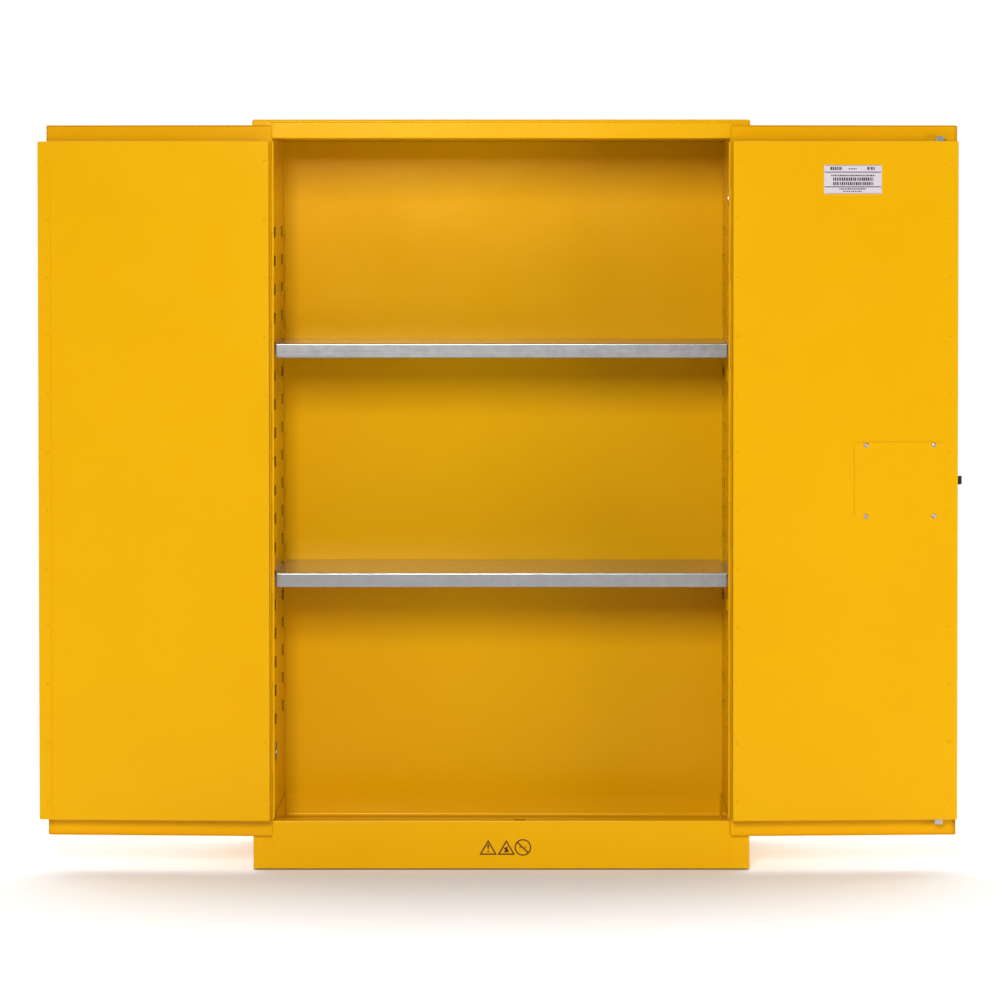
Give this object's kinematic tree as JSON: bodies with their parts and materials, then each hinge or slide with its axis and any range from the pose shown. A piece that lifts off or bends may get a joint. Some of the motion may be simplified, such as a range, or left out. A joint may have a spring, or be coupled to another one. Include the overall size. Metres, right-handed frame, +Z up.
{
  "type": "flammable storage cabinet",
  "caption": "Double-walled steel safety cabinet with side-hinged doors, a recessed paddle latch with rods, adjustable steel shelves, capped vents and a liquid-tight sump.",
  "frame": {"origin": "on the floor, in the middle of the object's box with both doors swung fully open", "axes": "+Z up, the front and its opening face -Y, +X to the right as seen from the front"},
  "size_m": [2.0248, 0.5058, 1.651],
  "materials": {
    "yellow_powder_coat": "smooth satin safety-yellow powder coat",
    "galvanised_steel": "dull galvanised sheet with faint spangle",
    "zinc_plated_steel": "bright zinc plate",
    "black_plastic": "fine-grained black moulding",
    "printed_label": "pale laminated label with plain ruled bars"
  },
  "bodies": {
    "cabinet": {"left_outer_side": "yellow_powder_coat", "right_outer_side": "yellow_powder_coat", "outer_back_panel": "yellow_powder_coat", "outer_top_panel": "yellow_powder_coat", "outer_bottom_panel": "yellow_powder_coat", "header_rail": "yellow_powder_coat", "base_sill": "yellow_powder_coat", "left_inner_wall": "yellow_powder_coat", "right_inner_wall": "yellow_powder_coat", "inner_back_wall": "yellow_powder_coat", "inner_ceiling": "yellow_powder_coat", "sump_tray": "yellow_powder_coat", "lower_vent_collar": "zinc_plated_steel", "lower_flame_arrester": "zinc_plated_steel", "upper_vent_collar": "zinc_plated_steel", "upper_flame_arrester": "zinc_plated_steel", "ground_screw": "zinc_plated_steel", "upper_shelf_bracket_left_front": "galvanised_steel", "upper_shelf_bracket_left_rear": "galvanised_steel", "upper_shelf_bracket_right_front": "galvanised_steel", "upper_shelf_bracket_right_rear": "galvanised_steel", "lower_shelf_bracket_left_front": "galvanised_steel", "lower_shelf_bracket_left_rear": "galvanised_steel", "lower_shelf_bracket_right_front": "galvanised_steel", "lower_shelf_bracket_right_rear": "galvanised_steel", "left_hinge_frame_leaf": "yellow_powder_coat", "left_hinge_pin": "yellow_powder_coat", "right_hinge_frame_leaf": "yellow_powder_coat", "right_hinge_pin": "yellow_powder_coat"},
    "left_door": {"left_hinge_door_leaf": "yellow_powder_coat", "left_door_outer_panel": "yellow_powder_coat", "left_door_inner_pan": "yellow_powder_coat", "meeting_strip": "yellow_powder_coat"},
    "right_door": {"right_hinge_door_leaf": "yellow_powder_coat", "right_door_outer_panel": "yellow_powder_coat", "right_door_inner_pan": "yellow_powder_coat", "latch_cover_plate": "yellow_powder_coat", "cover_screw_1": "zinc_plated_steel", "cover_screw_2": "zinc_plated_steel", "cover_screw_3": "zinc_plated_steel", "cover_screw_4": "zinc_plated_steel", "data_label": "printed_label", "handle_cup": "black_plastic", "latch_base_plate": "zinc_plated_steel", "top_rod_guide": "black_plastic", "bottom_rod_guide": "black_plastic"},
    "paddle": {"paddle_handle": "black_plastic"},
    "lock": {"lock_cylinder": "zinc_plated_steel"},
    "cam": {"latch_cam": "zinc_plated_steel"},
    "upper_rod": {"top_rod": "zinc_plated_steel"},
    "lower_rod": {"bottom_rod": "zinc_plated_steel"},
    "bolt": {"latch_bolt": "black_plastic"},
    "upper_shelf_body": {"upper_shelf": "galvanised_steel"},
    "lower_shelf_body": {"lower_shelf": "galvanised_steel"},
    "lower_cap": {"lower_vent_cap": "black_plastic"},
    "upper_cap": {"upper_vent_cap": "black_plastic"},
    "foot_front_left": {"front_left_foot": "black_plastic"},
    "foot_front_right": {"front_right_foot": "black_plastic"},
    "foot_rear_left": {"rear_left_foot": "black_plastic"},
    "foot_rear_right": {"rear_right_foot": "black_plastic"}
  },
  "joints": [
    {"name": "left_door_hinge", "type": "hinge", "parent": "cabinet", "child": "left_door", "pos_m": [-0.501, -0.21113, 0.8585], "axis": [0, 0, 1], "range_deg": [0, 183]},
    {"name": "right_door_hinge", "type": "hinge", "parent": "cabinet", "child": "right_door", "pos_m": [0.501, -0.21113, 0.8585], "axis": [0, 0, -1], "range_deg": [0, 183]},
    {"name": "paddle_pull", "type": "hinge", "parent": "right_door", "child": "paddle", "pos_m": [0.88069, -0.19524, 0.91], "axis": [0.9986, 0.0523, 0], "range_deg": [0, 30], "stiffness_Nm_per_rad": 2},
    {"name": "key_turn", "type": "hinge", "parent": "right_door", "child": "lock", "pos_m": [0.88048, -0.19124, 0.752], "axis": [-0.0523, 0.9986, 0], "range_deg": [0, 90]},
    {"name": "cam_turn", "type": "hinge", "parent": "right_door", "child": "cam", "pos_m": [0.95987, -0.18708, 0.8595], "axis": [0.0523, -0.9986, 0], "range_deg": [0, 71]},
    {"name": "top_rod_slide", "type": "slide", "parent": "right_door", "child": "upper_rod", "axis": [0, 0, -1], "range_m": [0, 0.0132]},
    {"name": "bottom_rod_slide", "type": "slide", "parent": "right_door", "child": "lower_rod", "axis": [0, 0, 1], "range_m": [0, 0.0132]},
    {"name": "bolt_slide", "type": "slide", "parent": "right_door", "child": "bolt", "axis": [-0.9986, -0.0523, 0], "range_m": [0, 0.0127]},
    {"name": "upper_shelf_lift", "type": "slide", "parent": "cabinet", "child": "upper_shelf_body", "axis": [0, 0, 1], "range_m": [0, 0.025]},
    {"name": "lower_shelf_lift", "type": "slide", "parent": "cabinet", "child": "lower_shelf_body", "axis": [0, 0, 1], "range_m": [0, 0.025]},
    {"name": "lower_cap_turn", "type": "hinge", "parent": "cabinet", "child": "lower_cap", "pos_m": [-0.5461, -0.10913, 0.25], "axis": [-1, 0, 0], "continuous": true},
    {"name": "upper_cap_turn", "type": "hinge", "parent": "cabinet", "child": "upper_cap", "pos_m": [0.5461, -0.10913, 1.48], "axis": [1, 0, 0], "continuous": true},
    {"name": "front_left_foot_turn", "type": "hinge", "parent": "cabinet", "child": "foot_front_left", "pos_m": [-0.49, -0.14413, 0], "axis": [0, 0, 1], "continuous": true},
    {"name": "front_right_foot_turn", "type": "hinge", "parent": "cabinet", "child": "foot_front_right", "pos_m": [0.49, -0.14413, 0], "axis": [0, 0, 1], "continuous": true},
    {"name": "rear_left_foot_turn", "type": "hinge", "parent": "cabinet", "child": "foot_rear_left", "pos_m": [-0.49, 0.19587, 0], "axis": [0, 0, 1], "continuous": true},
    {"name": "rear_right_foot_turn", "type": "hinge", "parent": "cabinet", "child": "foot_rear_right", "pos_m": [0.49, 0.19587, 0], "axis": [0, 0, 1], "continuous": true}
  ],
  "couplings": [
    {"joint": "cam_turn", "follows": "paddle_pull", "ratio": 2.3333},
    {"joint": "top_rod_slide", "follows": "paddle_pull", "m_per_rad": 0.024828},
    {"joint": "bottom_rod_slide", "follows": "paddle_pull", "m_per_rad": 0.024828},
    {"joint": "bolt_slide", "follows": "paddle_pull", "m_per_rad": 0.023873}
  ]
}
